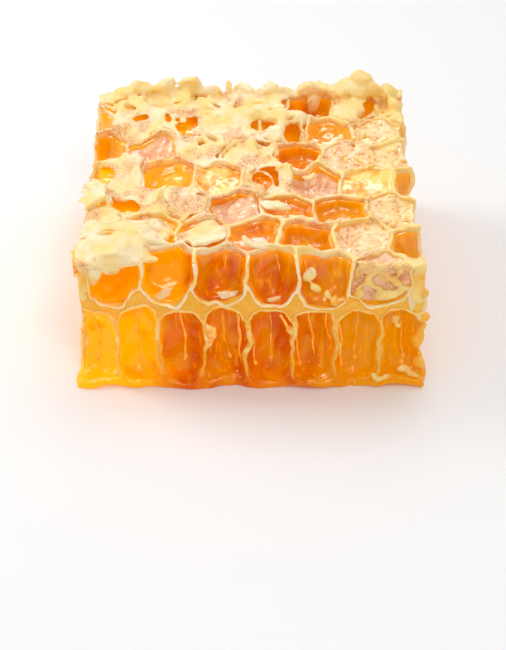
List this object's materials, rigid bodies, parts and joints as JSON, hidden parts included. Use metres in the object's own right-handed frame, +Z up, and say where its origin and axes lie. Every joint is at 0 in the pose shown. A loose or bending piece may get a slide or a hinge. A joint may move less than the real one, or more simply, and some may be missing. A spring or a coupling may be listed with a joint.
{
  "type": "honeycomb piece",
  "caption": "Square cut block of comb honey: a layer of wide wax cells over a layer of narrow ones on a shared midrib, filled with amber honey and partly capped with cream wax.",
  "frame": {"origin": "middle of the flat underside", "axes": "+Z up through the cells to the capped top, -Y out of the cut front, +X to the right of it"},
  "size_m": [0.0422, 0.042, 0.0222],
  "materials": {
    "cream_wax": "cream beeswax cappings and rims, slightly frosted",
    "golden_wax": "thin golden beeswax walls, wet with honey",
    "amber_honey": "clear deep amber honey, wet gloss",
    "golden_honey": "clear golden honey, wet gloss"
  },
  "bodies": {
    "root": {"upper_wax": "cream_wax", "lower_wax": "golden_wax", "midrib": "golden_wax", "upper_honey": "amber_honey", "lower_honey": "golden_honey"}
  },
  "joints": []
}
